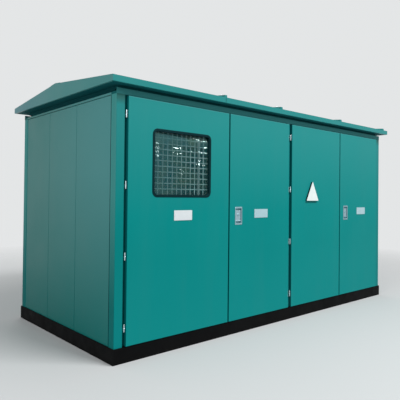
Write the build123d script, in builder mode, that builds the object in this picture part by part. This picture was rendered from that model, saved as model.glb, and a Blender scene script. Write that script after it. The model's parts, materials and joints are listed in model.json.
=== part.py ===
from build123d import *
import os

# Compact substation housing: a steel base frame, a panelled body with four front doors and a low gable roof.
# Millimetres. X runs along the door side, the doors face -Y, Z is up, and the origin is on the ground
# under the middle of the housing. The doors are numbered from the left.

# Body
body_length = 4700
body_width = 2100
wall_height = 2250

# Base frame of rolled channels
base_height = 140
base_flange = 58
base_web = 6
base_flange_thickness = 9
base_proud = 10
cross_member_count = 3
cross_member_flange = 48
floor_thickness = 5
floor_gap = 2

# Posts and head beams
post_face = 90
post_side = 90
post_wall = 4
post_fold_radius = 7
centre_post_width = 48
centre_post_setback = 12
centre_post_fold_radius = 3
header_height = 55
header_wall = 4
header_fold_radius = 3
end_rail_height = 22

# Wall panels
panel_thickness = 50
panel_recess = 4
panel_joint = 5
panel_head_gap = 5
panel_edge_fold = 2
front_end_panel_width = 663
middle_end_panel_width = 632
rear_panel_count = 7

# Roof
ceiling_thickness = 28
ceiling_setback = 40
eaves_gap = 25
fascia_height = 57
roof_rise = 113
end_overhang = 93
side_overhang = 87
roof_sheet = 3
roof_lip = 20
roof_lip_radius = 2
truss_count = 5
truss_thickness = 6
truss_end_inset = 120
ridge_cap_half_width = 110
rib_height = 24
rib_width = 45
rib_top_width = 29
rib_eaves_setback = 4
first_rib_setback = 121
second_rib_setback = 263
third_rib_setback = 79
last_rib_end_distance = 125
fascia_joint = 5

# Door leaves
leaf_thickness = 45
leaf_proud = 20
leaf_edge_radius = 4
leaf_gap_at_post = 24
leaf_gap_below = 6
leaf_gap_above = 8
leaf_joint = 16
first_leaf_width = 1278
second_leaf_width = 1023
third_leaf_width = 1069
centre_gap = 60

# Door stops behind the leaves
stop_thickness = 15
stop_clearance = 6
stop_overlap = 20

# Lift-off hinges, of ten-sided bar
hinge_count = 4
hinge_side_count = 10
hinge_end_distance = 162
hinge_radius = 6
hinge_to_leaf = 11
hinge_set_forward = 4
hinge_pin_radius = 3
hinge_pin_clearance = 0.05
hinge_pin_end_gap = 3
hinge_knuckle_height = 32
hinge_collar_radius = 8
hinge_collar_height = 5
hinge_axial_gap = 0.3
hinge_arm_thickness = 6
hinge_arm_height = 16
hinge_foot_setback = 8
hinge_foot_thickness = 8

# Window in the first leaf
window_width = 741
window_height = 644
window_corner_radius = 56
window_top_distance = 262
gasket_face_width = 25
gasket_lip = 12
gasket_lip_thickness = 5
gasket_seat_clearance = 0.3
gasket_back_inset = 4
glass_thickness = 5
glass_setback = 12
glass_bite = 7
mesh_wire = 5
mesh_setback = 24
mesh_column_count = 12
mesh_row_count = 11

# Paddle locks in the second and fourth leaves
lock_width = 110
lock_height = 195
lock_flange_thickness = 3
lock_corner_radius = 6
lock_centre_height = 1140
lock_edge_distance = 82
lock_flange_side = 11
lock_flange_end = 17
lock_dish_depth = 24
lock_wall = 2
lock_pocket_clearance = 1
paddle_side_clearance = 6
paddle_height = 118
paddle_top_gap = 20
paddle_thickness = 3
paddle_barrel_radius = 4.5
paddle_pin_radius = 2.5
paddle_pin_clearance = 0.05
paddle_setback = 9
paddle_lip_radius = 10
paddle_lip_angle = 70
paddle_pin_end_gap = 0.5

# Faces and levels that follow from the sizes above
half_length = body_length / 2
half_width = body_width / 2
base_half_length = half_length + base_proud
base_half_width = half_width + base_proud
head_level = base_height + wall_height
panel_top = head_level - panel_head_gap
header_top = head_level + header_height
ceiling_top = header_top + ceiling_thickness
eaves_bottom = header_top + eaves_gap
eaves_top = eaves_bottom + fascia_height
ridge_level = eaves_top + roof_rise
roof_half_length = half_length + end_overhang
roof_half_width = half_width + side_overhang
post_inner_x = half_length - post_face
post_inner_y = half_width - post_side
centre_post_front = -half_width + centre_post_setback
end_rail_top = head_level + end_rail_height
leaf_front = half_width + leaf_proud
leaf_back = leaf_front - leaf_thickness
leaf_bottom = base_height + leaf_gap_below
leaf_top = head_level - leaf_gap_above
leaf_height = leaf_top - leaf_bottom
hinge_line_y = -(half_width + hinge_set_forward)

# Door edges along X, from the left
door_1_left = -post_inner_x + leaf_gap_at_post
door_1_right = door_1_left + first_leaf_width
door_2_left = door_1_right + leaf_joint
door_2_right = door_2_left + second_leaf_width
door_3_left = door_2_right + centre_gap
door_3_right = door_3_left + third_leaf_width
door_4_left = door_3_right + leaf_joint
door_4_right = post_inner_x - leaf_gap_at_post
leaf_spans = (
    (door_1_left, door_1_right),
    (door_2_left, door_2_right),
    (door_3_left, door_3_right),
    (door_4_left, door_4_right),
)
centre_post_x = (door_2_right + door_3_left) / 2
hinge_to_post = leaf_gap_at_post - hinge_to_leaf
hinge_lines = (
    door_1_left - hinge_to_leaf,
    door_2_right + hinge_to_leaf,
    door_3_left - hinge_to_leaf,
    door_4_right + hinge_to_leaf,
)

# Roof ribs: three lie to the left of a joint between leaves, and one is near the right end
rib_lines = (
    door_1_right - first_rib_setback,
    centre_post_x - second_rib_setback,
    door_3_right - third_rib_setback,
    roof_half_length - last_rib_end_distance,
)
hinges_on_left = (True, False, True, False)
leaf_has_window = (True, False, False, False)
leaf_has_lock = (False, True, False, True)
door_numbers = range(1, len(leaf_spans) + 1)
lock_door_numbers = [number for number in door_numbers if leaf_has_lock[number - 1]]

os.makedirs("parts", exist_ok=True)


def block(x_span, y_span, z_span, mode=Mode.ADD):
    """Box between the lowest and highest x, y and z, in the part that is being built."""
    sizes = [high - low for low, high in (x_span, y_span, z_span)]
    centre = [(low + high) / 2 for low, high in (x_span, y_span, z_span)]
    with Locations(tuple(centre)):
        return Box(*sizes, mode=mode)


def save(part, name):
    """Label a finished piece and write it under the same name."""
    part.label = name
    export_step(part, f"parts/{name}.step")


# Base frame: long channels at the front and rear, coped channels at the ends
with BuildPart() as base_front_channel:
    with BuildSketch(Plane.YZ.offset(-(base_half_length - base_web))):
        with Locations((-base_half_width, 0)):
            Rectangle(base_flange, base_height, align=(Align.MIN, Align.MIN))
        with Locations((-base_half_width + base_web, base_flange_thickness)):
            Rectangle(
                base_flange - base_web,
                base_height - 2 * base_flange_thickness,
                align=(Align.MIN, Align.MIN),
                mode=Mode.SUBTRACT,
            )
    extrude(amount=2 * (base_half_length - base_web))
save(base_front_channel.part, "base_front_channel")

with BuildPart() as base_rear_channel:
    mirror(base_front_channel.part, about=Plane.XZ)
save(base_rear_channel.part, "base_rear_channel")

base_inner_y = base_half_width - base_flange
with BuildPart() as base_left_channel:
    block(
        (-base_half_length, -base_half_length + base_web),
        (-base_half_width, base_half_width),
        (0, base_height),
    )
    for flange_bottom in (0, base_height - base_flange_thickness):
        block(
            (-base_half_length, -base_half_length + base_flange),
            (-base_inner_y, base_inner_y),
            (flange_bottom, flange_bottom + base_flange_thickness),
        )
save(base_left_channel.part, "base_left_channel")

with BuildPart() as base_right_channel:
    mirror(base_left_channel.part, about=Plane.YZ)
save(base_right_channel.part, "base_right_channel")

cross_member_spacing = body_length / (cross_member_count + 1)
with BuildPart() as base_cross_members:
    with BuildSketch(Plane.XZ.offset(-base_inner_y)):
        with GridLocations(cross_member_spacing, 1, cross_member_count, 1):
            with Locations((0, base_height / 2)):
                Rectangle(cross_member_flange, base_height)
            with Locations((base_web / 2, base_height / 2)):
                Rectangle(
                    cross_member_flange - base_web,
                    base_height - 2 * base_flange_thickness,
                    mode=Mode.SUBTRACT,
                )
    extrude(amount=2 * base_inner_y)
save(base_cross_members.part, "base_cross_members")

# Floor plate, notched round the posts and set behind the door stops
stop_front_y = -(leaf_back - stop_clearance)
stop_back_y = stop_front_y + stop_thickness
panel_inner_x = half_length - panel_recess - panel_thickness
panel_inner_y = half_width - panel_recess - panel_thickness
centre_post_span = (centre_post_x - centre_post_width / 2, centre_post_x + centre_post_width / 2)
with BuildPart() as floor_plate:
    block(
        (-panel_inner_x + floor_gap, panel_inner_x - floor_gap),
        (stop_back_y + floor_gap, panel_inner_y - floor_gap),
        (base_height, base_height + floor_thickness),
    )
    notch_x = post_inner_x - floor_gap
    notch_y = post_inner_y - floor_gap
    for side_x in (-1, 1):
        for side_y in (-1, 1):
            block(
                sorted((side_x * notch_x, side_x * half_length)),
                sorted((side_y * notch_y, side_y * half_width)),
                (base_height, base_height + floor_thickness),
                mode=Mode.SUBTRACT,
            )
    block(
        (centre_post_span[0] - floor_gap, centre_post_span[1] + floor_gap),
        (-half_width, -notch_y),
        (base_height, base_height + floor_thickness),
        mode=Mode.SUBTRACT,
    )
save(floor_plate.part, "floor_plate")

# Corner posts: folded hollow sections, rounded on the outside
with BuildPart() as front_left_post:
    with BuildSketch(Plane.XY.offset(base_height)) as post_section:
        with Locations((-half_length, -half_width)):
            Rectangle(post_face, post_side, align=(Align.MIN, Align.MIN))
        fillet(post_section.vertices(), post_fold_radius)
        with Locations((-half_length + post_wall, -half_width + post_wall)):
            Rectangle(
                post_face - 2 * post_wall,
                post_side - 2 * post_wall,
                align=(Align.MIN, Align.MIN),
                mode=Mode.SUBTRACT,
            )
    extrude(amount=wall_height)
save(front_left_post.part, "front_left_post")

with BuildPart() as front_right_post:
    mirror(front_left_post.part, about=Plane.YZ)
save(front_right_post.part, "front_right_post")

with BuildPart() as rear_left_post:
    mirror(front_left_post.part, about=Plane.XZ)
save(rear_left_post.part, "rear_left_post")

with BuildPart() as rear_right_post:
    mirror(front_right_post.part, about=Plane.XZ)
save(rear_right_post.part, "rear_right_post")

# Centre post between the two pairs of doors, set back behind the hinges
with BuildPart() as centre_post:
    with BuildSketch(Plane.XY.offset(base_height)) as centre_post_section:
        centre_post_depth = post_side - centre_post_setback
        with Locations((centre_post_x, centre_post_front)):
            Rectangle(centre_post_width, centre_post_depth, align=(Align.CENTER, Align.MIN))
        fillet(centre_post_section.vertices(), centre_post_fold_radius)
        with Locations((centre_post_x, centre_post_front + post_wall)):
            Rectangle(
                centre_post_width - 2 * post_wall,
                centre_post_depth - 2 * post_wall,
                align=(Align.CENTER, Align.MIN),
                mode=Mode.SUBTRACT,
            )
    extrude(amount=wall_height)
save(centre_post.part, "centre_post")


# Door stop frames: flat bars on the posts and the head, behind the edges of each pair of leaves
def stop_frame(outer_span, opening_span):
    """Rectangular stop frame between two posts, open inside the leaf edges less the overlap."""
    opening_bottom = leaf_bottom + stop_overlap
    opening_top = leaf_top - stop_overlap
    with BuildPart() as frame:
        block(outer_span, (stop_front_y, stop_back_y), (base_height, head_level))
        block(
            (opening_span[0] + stop_overlap, opening_span[1] - stop_overlap),
            (stop_front_y, stop_back_y),
            (opening_bottom, opening_top),
            mode=Mode.SUBTRACT,
        )
    return frame.part


save(
    stop_frame((-post_inner_x, centre_post_span[0]), (door_1_left, door_2_right)),
    "left_doorway_frame",
)
save(
    stop_frame((centre_post_span[1], post_inner_x), (door_3_left, door_4_right)),
    "right_doorway_frame",
)

# Head beams: folded channels open to the inside. Above the low end rails, only their front plates go on
with BuildPart() as front_header:
    header_back_y = -half_width + post_side
    block((-half_length, half_length), (-half_width, header_back_y), (head_level, header_top))
    fillet(front_header.edges().filter_by(Axis.X).group_by(Axis.Y)[0], header_fold_radius)
    block(
        (-half_length + header_wall, half_length - header_wall),
        (-half_width + header_wall, header_back_y),
        (head_level + header_wall, header_top - header_wall),
        mode=Mode.SUBTRACT,
    )
    for side_x in (-1, 1):
        block(
            sorted((side_x * post_inner_x, side_x * half_length)),
            (-half_width + header_wall, header_back_y),
            (end_rail_top, header_top),
            mode=Mode.SUBTRACT,
        )
save(front_header.part, "front_header")

with BuildPart() as rear_header:
    mirror(front_header.part, about=Plane.XZ)
save(rear_header.part, "rear_header")

with BuildPart() as left_top_rail:
    rail_inner_x = -half_length + post_face
    block((-half_length, rail_inner_x), (-post_inner_y, post_inner_y), (head_level, end_rail_top))
    fillet(left_top_rail.edges().filter_by(Axis.Y).group_by(Axis.X)[0], header_fold_radius)
    block(
        (-half_length + header_wall, rail_inner_x),
        (-post_inner_y, post_inner_y),
        (head_level + header_wall, end_rail_top - header_wall),
        mode=Mode.SUBTRACT,
    )
save(left_top_rail.part, "left_top_rail")

with BuildPart() as right_top_rail:
    mirror(left_top_rail.part, about=Plane.YZ)
save(right_top_rail.part, "right_top_rail")


# Wall panels: sandwich panels between the posts, with a fine joint between them
end_seams = (
    -post_inner_y,
    -post_inner_y + front_end_panel_width,
    -post_inner_y + front_end_panel_width + middle_end_panel_width,
    post_inner_y,
)


def end_panel(side_x, number):
    """One panel of an end wall, numbered from the front. side_x is -1 on the left and 1 on the right."""
    outer_x = side_x * (half_length - panel_recess)
    inner_x = side_x * panel_inner_x
    with BuildPart() as panel:
        block(
            sorted((outer_x, inner_x)),
            (end_seams[number - 1] + panel_joint / 2, end_seams[number] - panel_joint / 2),
            (base_height, panel_top),
        )
        outer_face = panel.faces().sort_by(Axis.X)[0 if side_x < 0 else -1]
        chamfer(outer_face.edges().filter_by(Axis.Z), panel_edge_fold)
    return panel.part


for panel_number in range(1, len(end_seams)):
    save(end_panel(-1, panel_number), f"left_panel_{panel_number}")
    save(end_panel(1, panel_number), f"right_panel_{panel_number}")

rear_panel_pitch = 2 * post_inner_x / rear_panel_count
with BuildPart() as rear_panels:
    with Locations((0, half_width - panel_recess - panel_thickness / 2, (base_height + panel_top) / 2)):
        with GridLocations(rear_panel_pitch, 1, rear_panel_count, 1):
            Box(rear_panel_pitch - panel_joint, panel_thickness, panel_top - base_height)
    rear_faces = rear_panels.faces().group_by(Axis.Y)[-1]
    chamfer(rear_faces.edges().filter_by(Axis.Z), panel_edge_fold)
save(rear_panels.part, "rear_panels")

# Ceiling slab on the head beams, set back so that a shadow gap stays under the eaves. Its ends are
# turned down onto the end rails
ceiling_half_length = half_length - ceiling_setback
ceiling_half_width = half_width - ceiling_setback
with BuildPart() as ceiling_slab:
    block(
        (-ceiling_half_length, ceiling_half_length),
        (-ceiling_half_width, ceiling_half_width),
        (header_top, ceiling_top),
    )
    for side_x in (-1, 1):
        block(
            sorted((side_x * post_inner_x, side_x * ceiling_half_length)),
            (-post_inner_y, post_inner_y),
            (end_rail_top, header_top),
        )
save(ceiling_slab.part, "ceiling_slab")

# Roof trusses: plates that stand on the ceiling slab and carry the sheets out to the eaves
fascia_inner_y = roof_half_width - roof_sheet
gable_inner_x = roof_half_length - roof_sheet
roof_slope = roof_rise / roof_half_width


def sheet_underside(y):
    """Level of the underside of the roof sheet at a distance y from the ridge."""
    return eaves_top + roof_slope * (roof_half_width - abs(y)) - roof_sheet


truss_spacing = 2 * (roof_half_length - truss_end_inset) / (truss_count - 1)
first_truss_x = truss_end_inset - roof_half_length
with BuildPart() as roof_trusses:
    for truss_number in range(truss_count):
        truss_x = first_truss_x + truss_number * truss_spacing
        with BuildSketch(Plane.YZ.offset(truss_x - truss_thickness / 2)):
            with BuildLine():
                Polyline(
                    (-fascia_inner_y, ceiling_top),
                    (fascia_inner_y, ceiling_top),
                    (fascia_inner_y, sheet_underside(fascia_inner_y)),
                    (0, sheet_underside(0)),
                    (-fascia_inner_y, sheet_underside(fascia_inner_y)),
                    close=True,
                )
            make_face()
        extrude(amount=truss_thickness)
save(roof_trusses.part, "roof_trusses")

# Roof sheets with raised ribs, folded with sloping sides
slope_direction = (0, roof_half_width, roof_rise)
slope_length = (roof_half_width**2 + roof_rise**2) ** 0.5
rib_length = slope_length * (1 - ridge_cap_half_width / roof_half_width) - rib_eaves_setback
with BuildPart() as roof_front_slope:
    with BuildSketch(Plane.YZ.offset(-roof_half_length)):
        with BuildLine():
            Polyline(
                (-roof_half_width, eaves_top - roof_sheet),
                (0, ridge_level - roof_sheet),
                (0, ridge_level),
                (-roof_half_width, eaves_top),
                close=True,
            )
        make_face()
    extrude(amount=2 * roof_half_length)
    for rib_x in rib_lines:
        eaves_point = (rib_x, -roof_half_width, eaves_top)
        eaves_plane = Plane(origin=eaves_point, x_dir=(-1, 0, 0), z_dir=slope_direction)
        with BuildSketch(eaves_plane.offset(rib_eaves_setback)):
            with BuildLine():
                Polyline(
                    (-rib_width / 2, 0),
                    (rib_width / 2, 0),
                    (rib_top_width / 2, rib_height),
                    (-rib_top_width / 2, rib_height),
                    close=True,
                )
            make_face()
        extrude(amount=rib_length)
save(roof_front_slope.part, "roof_front_slope")

with BuildPart() as roof_rear_slope:
    mirror(roof_front_slope.part, about=Plane.XZ)
save(roof_rear_slope.part, "roof_rear_slope")

with BuildPart() as ridge_cap:
    cap_drop = roof_slope * ridge_cap_half_width
    with BuildSketch(Plane.YZ.offset(-roof_half_length)):
        with BuildLine():
            Polyline(
                (-ridge_cap_half_width, ridge_level - cap_drop),
                (0, ridge_level),
                (ridge_cap_half_width, ridge_level - cap_drop),
                (ridge_cap_half_width, ridge_level - cap_drop + roof_sheet),
                (0, ridge_level + roof_sheet),
                (-ridge_cap_half_width, ridge_level - cap_drop + roof_sheet),
                close=True,
            )
        make_face()
    extrude(amount=2 * roof_half_length)
save(ridge_cap.part, "ridge_cap")

# Fascias, each in two lengths, and gable plates, with a lip folded in along the lower edge
with BuildPart() as front_fascia:
    block(
        (-gable_inner_x, gable_inner_x),
        (-roof_half_width, -fascia_inner_y),
        (eaves_bottom, eaves_top - roof_sheet),
    )
    block(
        (-gable_inner_x, gable_inner_x),
        (-roof_half_width, -roof_half_width + roof_lip),
        (eaves_bottom, eaves_bottom + roof_sheet),
    )
    lower_edge = front_fascia.edges().filter_by(Axis.X).group_by(Axis.Z)[0].sort_by(Axis.Y)[0]
    fillet(lower_edge, roof_lip_radius)
    block(
        (rib_lines[0] - fascia_joint / 2, rib_lines[0] + fascia_joint / 2),
        (-roof_half_width, -roof_half_width + roof_lip),
        (eaves_bottom, eaves_top),
        mode=Mode.SUBTRACT,
    )
save(front_fascia.part, "front_fascia")

with BuildPart() as rear_fascia:
    mirror(front_fascia.part, about=Plane.XZ)
save(rear_fascia.part, "rear_fascia")

with BuildPart() as left_gable:
    with BuildSketch(Plane.YZ.offset(-roof_half_length)):
        with BuildLine():
            Polyline(
                (-roof_half_width, eaves_bottom),
                (roof_half_width, eaves_bottom),
                (roof_half_width, eaves_top - roof_sheet),
                (0, ridge_level - roof_sheet),
                (-roof_half_width, eaves_top - roof_sheet),
                close=True,
            )
        make_face()
    extrude(amount=roof_sheet)
    gable_lip_y = roof_half_width - roof_lip
    block(
        (-roof_half_length, -roof_half_length + roof_lip),
        (-gable_lip_y, gable_lip_y),
        (eaves_bottom, eaves_bottom + roof_sheet),
    )
save(left_gable.part, "left_gable")

with BuildPart() as right_gable:
    mirror(left_gable.part, about=Plane.YZ)
save(right_gable.part, "right_gable")

# Window opening, gasket, glass and wire mesh, all set out from the window's middle
window_x = (door_1_left + door_1_right) / 2
window_z = leaf_top - window_top_distance - window_height / 2
hole_inset = gasket_lip
sight_inset = gasket_face_width
pane_inset = gasket_face_width - glass_bite


def window_outline(inset):
    """Rounded rectangle that lies inside the window's outer edge by the inset."""
    RectangleRounded(
        window_width - 2 * inset, window_height - 2 * inset, window_corner_radius - inset
    )


def window_plane(depth):
    """Plane parallel to the door's face, at a depth behind it, centred on the window."""
    return Plane(origin=(window_x, depth - leaf_front, window_z), x_dir=(1, 0, 0), z_dir=(0, -1, 0))


# Paddle locks: each is set out from the middle of its plate
lock_z = base_height + lock_centre_height
lock_places = {
    number: leaf_spans[number - 1][0] + lock_edge_distance + lock_width / 2
    for number in lock_door_numbers
}
dish_width = lock_width - 2 * lock_flange_side
dish_height = lock_height - 2 * lock_flange_end


# Door leaves: flat sandwich panels with folded front edges
def door_leaf(number):
    """One leaf, with its window opening or its lock pocket."""
    left, right = leaf_spans[number - 1]
    with BuildPart() as leaf:
        block((left, right), (-leaf_front, -leaf_back), (leaf_bottom, leaf_top))
        front_edges = leaf.faces().sort_by(Axis.Y)[0].edges()
        fillet(front_edges, leaf_edge_radius)
        if leaf_has_window[number - 1]:
            with BuildSketch(window_plane(leaf_thickness)):
                window_outline(hole_inset)
            extrude(amount=leaf_thickness, mode=Mode.SUBTRACT)
        if leaf_has_lock[number - 1]:
            pocket_half_width = dish_width / 2 + lock_wall + lock_pocket_clearance
            pocket_half_height = dish_height / 2 + lock_wall + lock_pocket_clearance
            lock_x = lock_places[number]
            block(
                (lock_x - pocket_half_width, lock_x + pocket_half_width),
                (-leaf_front, -leaf_front + lock_dish_depth + lock_wall + lock_pocket_clearance),
                (lock_z - pocket_half_height, lock_z + pocket_half_height),
                mode=Mode.SUBTRACT,
            )
    return leaf.part


for door_number in door_numbers:
    save(door_leaf(door_number), f"door_{door_number}_leaf")

# Rubber gasket: a lip on the door's face and a body in the opening, grooved for the glass and the mesh
with BuildPart() as window_gasket:
    gasket_depth = leaf_thickness - gasket_back_inset
    with BuildSketch(window_plane(0)):
        window_outline(0)
        with BuildSketch(mode=Mode.SUBTRACT):
            window_outline(sight_inset)
    extrude(amount=gasket_lip_thickness)
    with BuildSketch(window_plane(gasket_depth)):
        window_outline(hole_inset + gasket_seat_clearance)
        with BuildSketch(mode=Mode.SUBTRACT):
            window_outline(sight_inset)
    extrude(amount=gasket_depth)
    with BuildSketch(window_plane(glass_setback + glass_thickness)):
        window_outline(pane_inset)
    extrude(amount=glass_thickness, mode=Mode.SUBTRACT)
    with BuildSketch(window_plane(mesh_setback + 2 * mesh_wire)):
        window_outline(pane_inset)
    extrude(amount=2 * mesh_wire, mode=Mode.SUBTRACT)
save(window_gasket.part, "window_gasket")

with BuildPart() as window_glass:
    with BuildSketch(window_plane(glass_setback + glass_thickness)):
        window_outline(pane_inset + gasket_seat_clearance)
    extrude(amount=glass_thickness)
save(window_glass.part, "window_glass")

# Welded wire mesh behind the glass: upright square wires, with level ones fused to their backs
with BuildPart() as window_mesh:
    mesh_column_pitch = (window_width - 2 * sight_inset) / mesh_column_count
    mesh_row_pitch = (window_height - 2 * sight_inset) / mesh_row_count
    wire_end_inset = pane_inset + gasket_seat_clearance
    with BuildSketch(window_plane(mesh_setback + mesh_wire)):
        with GridLocations(mesh_column_pitch, 1, mesh_column_count - 1, 1):
            Rectangle(mesh_wire, window_height - 2 * wire_end_inset)
    extrude(amount=mesh_wire)
    with BuildSketch(window_plane(mesh_setback + 2 * mesh_wire)):
        with GridLocations(1, mesh_row_pitch, 1, mesh_row_count - 1):
            Rectangle(window_width - 2 * wire_end_inset, mesh_wire)
    extrude(amount=mesh_wire)
save(window_mesh.part, "window_mesh")


# Lock dish: a flanged plate with a sunk tray, bored for the paddle's pin
paddle_top = lock_z + dish_height / 2 - paddle_top_gap
paddle_axis_z = paddle_top - paddle_barrel_radius
paddle_axis_y = -leaf_front + paddle_setback


def lock_frame(number):
    """Plate and tray of the lock in one leaf."""
    lock_x = lock_places[number]
    tray_half_width = dish_width / 2 + lock_wall
    tray_half_height = dish_height / 2 + lock_wall
    with BuildPart() as frame:
        with BuildSketch(Plane.XZ.offset(leaf_front)):
            with Locations((lock_x, lock_z)):
                RectangleRounded(lock_width, lock_height, lock_corner_radius)
        extrude(amount=lock_flange_thickness)
        block(
            (lock_x - tray_half_width, lock_x + tray_half_width),
            (-leaf_front, -leaf_front + lock_dish_depth + lock_wall),
            (lock_z - tray_half_height, lock_z + tray_half_height),
        )
        block(
            (lock_x - dish_width / 2, lock_x + dish_width / 2),
            (-leaf_front - lock_flange_thickness, -leaf_front + lock_dish_depth),
            (lock_z - dish_height / 2, lock_z + dish_height / 2),
            mode=Mode.SUBTRACT,
        )
        with BuildSketch(Plane.YZ.offset(lock_x - tray_half_width)):
            with Locations((paddle_axis_y, paddle_axis_z)):
                Circle(paddle_pin_radius + paddle_pin_clearance)
        extrude(amount=2 * tray_half_width, mode=Mode.SUBTRACT)
    return frame.part


def lock_paddle(number):
    """Flap with a rolled lower lip, hung on a pin across the top of the tray."""
    lock_x = lock_places[number]
    half_paddle = dish_width / 2 - paddle_side_clearance
    pin_half_length = dish_width / 2 + lock_wall - paddle_pin_end_gap
    plate_y = paddle_axis_y - paddle_barrel_radius
    straight_bottom = paddle_top - paddle_height + paddle_lip_radius
    with BuildPart() as paddle:
        with BuildSketch(Plane.YZ.offset(lock_x - half_paddle)):
            with BuildLine() as flap_line:
                straight = Line((plate_y + paddle_thickness / 2, paddle_axis_z),
                                (plate_y + paddle_thickness / 2, straight_bottom))
                JernArc(straight @ 1, straight % 1, paddle_lip_radius, -paddle_lip_angle)
                offset(amount=paddle_thickness / 2, side=Side.BOTH)
            make_face()
            with Locations((paddle_axis_y, paddle_axis_z)):
                Circle(paddle_barrel_radius)
        extrude(amount=2 * half_paddle)
        with BuildSketch(Plane.YZ.offset(lock_x - pin_half_length)):
            with Locations((paddle_axis_y, paddle_axis_z)):
                Circle(paddle_pin_radius)
        extrude(amount=2 * pin_half_length)
    return paddle.part


for door_number in lock_door_numbers:
    save(lock_frame(door_number), f"lock_{door_number}_frame")
    save(lock_paddle(door_number), f"lock_{door_number}_paddle")


# Lift-off hinges: the fixed half carries the pin, and the leaf's half drops over it
hinge_spacing = (leaf_height - 2 * hinge_end_distance) / (hinge_count - 1)
hinge_levels = [leaf_bottom + hinge_end_distance + hinge_spacing * i for i in range(hinge_count)]
knuckle_reach = hinge_knuckle_height + hinge_collar_height / 2


def hinge_bar(x, bottom, radius, height):
    """Upright many-sided bar on the hinge line. The radius is to its corners."""
    with BuildSketch(Plane.XY.offset(bottom), mode=Mode.PRIVATE) as bar_section:
        with Locations((x, hinge_line_y)):
            RegularPolygon(radius, hinge_side_count)
    extrude(bar_section.sketch, amount=height)


def add_fixed_halves(door_number, on_corner_post):
    """Lower knuckles with collar and pin, on feet that meet the post."""
    x = hinge_lines[door_number - 1]
    to_post = -1 if hinges_on_left[door_number - 1] else 1
    half_foot = hinge_foot_thickness / 2
    for level in hinge_levels:
        bottom = level - knuckle_reach
        collar_bottom = level - hinge_collar_height / 2
        pin_height = hinge_collar_height + hinge_knuckle_height - hinge_pin_end_gap
        foot_levels = (collar_bottom - hinge_arm_height, collar_bottom)
        hinge_bar(x, bottom, hinge_radius, hinge_knuckle_height)
        hinge_bar(x, collar_bottom, hinge_collar_radius, hinge_collar_height)
        hinge_bar(x, collar_bottom, hinge_pin_radius, pin_height)
        if on_corner_post:
            foot_front = -half_width + hinge_foot_setback
            foot_back = foot_front + hinge_foot_thickness
            block((x - half_foot, x + half_foot), (hinge_line_y, foot_back), foot_levels)
            block(
                sorted((x, x + to_post * hinge_to_post)),
                (foot_front, foot_back),
                foot_levels,
            )
        else:
            block((x - half_foot, x + half_foot), (hinge_line_y, centre_post_front), foot_levels)


def leaf_hinge_halves(door_number):
    """Upper knuckles of one leaf, bored for the pins, with arms to the leaf's edge."""
    x = hinge_lines[door_number - 1]
    to_leaf = 1 if hinges_on_left[door_number - 1] else -1
    half_arm = hinge_arm_thickness / 2
    bore_depth = hinge_knuckle_height - hinge_pin_end_gap / 2
    with BuildPart() as halves:
        for level in hinge_levels:
            bottom = level + hinge_collar_height / 2 + hinge_axial_gap
            top = level + knuckle_reach
            hinge_bar(x, bottom, hinge_radius, top - bottom)
            block(
                sorted((x, x + to_leaf * hinge_to_leaf)),
                (hinge_line_y - half_arm, hinge_line_y + half_arm),
                (bottom, bottom + hinge_arm_height),
            )
            with BuildSketch(Plane.XY.offset(bottom)):
                with Locations((x, hinge_line_y)):
                    Circle(hinge_pin_radius + hinge_pin_clearance)
            extrude(amount=bore_depth, mode=Mode.SUBTRACT)
    return halves.part


with BuildPart() as left_post_hinges:
    add_fixed_halves(1, on_corner_post=True)
save(left_post_hinges.part, "left_post_hinges")

with BuildPart() as centre_post_hinges:
    add_fixed_halves(2, on_corner_post=False)
    add_fixed_halves(3, on_corner_post=False)
save(centre_post_hinges.part, "centre_post_hinges")

with BuildPart() as right_post_hinges:
    add_fixed_halves(4, on_corner_post=True)
save(right_post_hinges.part, "right_post_hinges")

for door_number in door_numbers:
    save(leaf_hinge_halves(door_number), f"door_{door_number}_hinges")
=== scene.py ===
"""Looks of a compact substation housing.

They are its paint, hinges, window gasket and mesh, bare plates, locks, sealant beads, soffits and
roof screws, with the floor, lights and camera round them.

Metres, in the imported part's frame: X runs along the door side, the doors face -Y, Z is up, and the
origin is on the ground under the middle of the housing.
"""

import json
import math

import bmesh
import bpy
import numpy as np
from mathutils import Matrix, Vector


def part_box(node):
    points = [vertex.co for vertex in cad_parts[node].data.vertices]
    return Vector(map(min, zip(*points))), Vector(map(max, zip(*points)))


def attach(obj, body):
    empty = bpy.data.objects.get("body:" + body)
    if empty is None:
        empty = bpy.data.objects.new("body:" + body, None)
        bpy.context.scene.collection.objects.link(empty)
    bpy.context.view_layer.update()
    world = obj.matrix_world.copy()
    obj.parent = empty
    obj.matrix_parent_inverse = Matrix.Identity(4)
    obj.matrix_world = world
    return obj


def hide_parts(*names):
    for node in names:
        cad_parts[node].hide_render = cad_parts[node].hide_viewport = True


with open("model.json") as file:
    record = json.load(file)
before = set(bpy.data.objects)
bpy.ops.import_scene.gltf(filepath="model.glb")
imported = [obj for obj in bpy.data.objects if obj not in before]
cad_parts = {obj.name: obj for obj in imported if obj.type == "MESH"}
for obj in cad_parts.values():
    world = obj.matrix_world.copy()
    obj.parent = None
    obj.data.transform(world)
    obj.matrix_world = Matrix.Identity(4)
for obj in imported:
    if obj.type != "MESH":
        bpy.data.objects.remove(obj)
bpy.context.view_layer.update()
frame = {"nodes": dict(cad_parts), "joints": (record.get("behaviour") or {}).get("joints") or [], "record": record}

# Camera of the photograph: place in metres, angles in degrees, focal length in pixels of the
# 400-pixel frame, and the pixel on the lens's axis, which lies a little off the middle because the
# photograph is cropped
PHOTO_PIXELS = 400
CAMERA_PLACE = (-4.513, -4.590, 1.491)
CAMERA_YAW = 41.60
CAMERA_PITCH = 0.714
CAMERA_ROLL = 0.607
CAMERA_FOCAL_PIXELS = 465.4
CAMERA_AXIS_PIXEL = (198.9, 190.2)
SENSOR_WIDTH = 36.0
CLIP_END = 200.0

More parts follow.
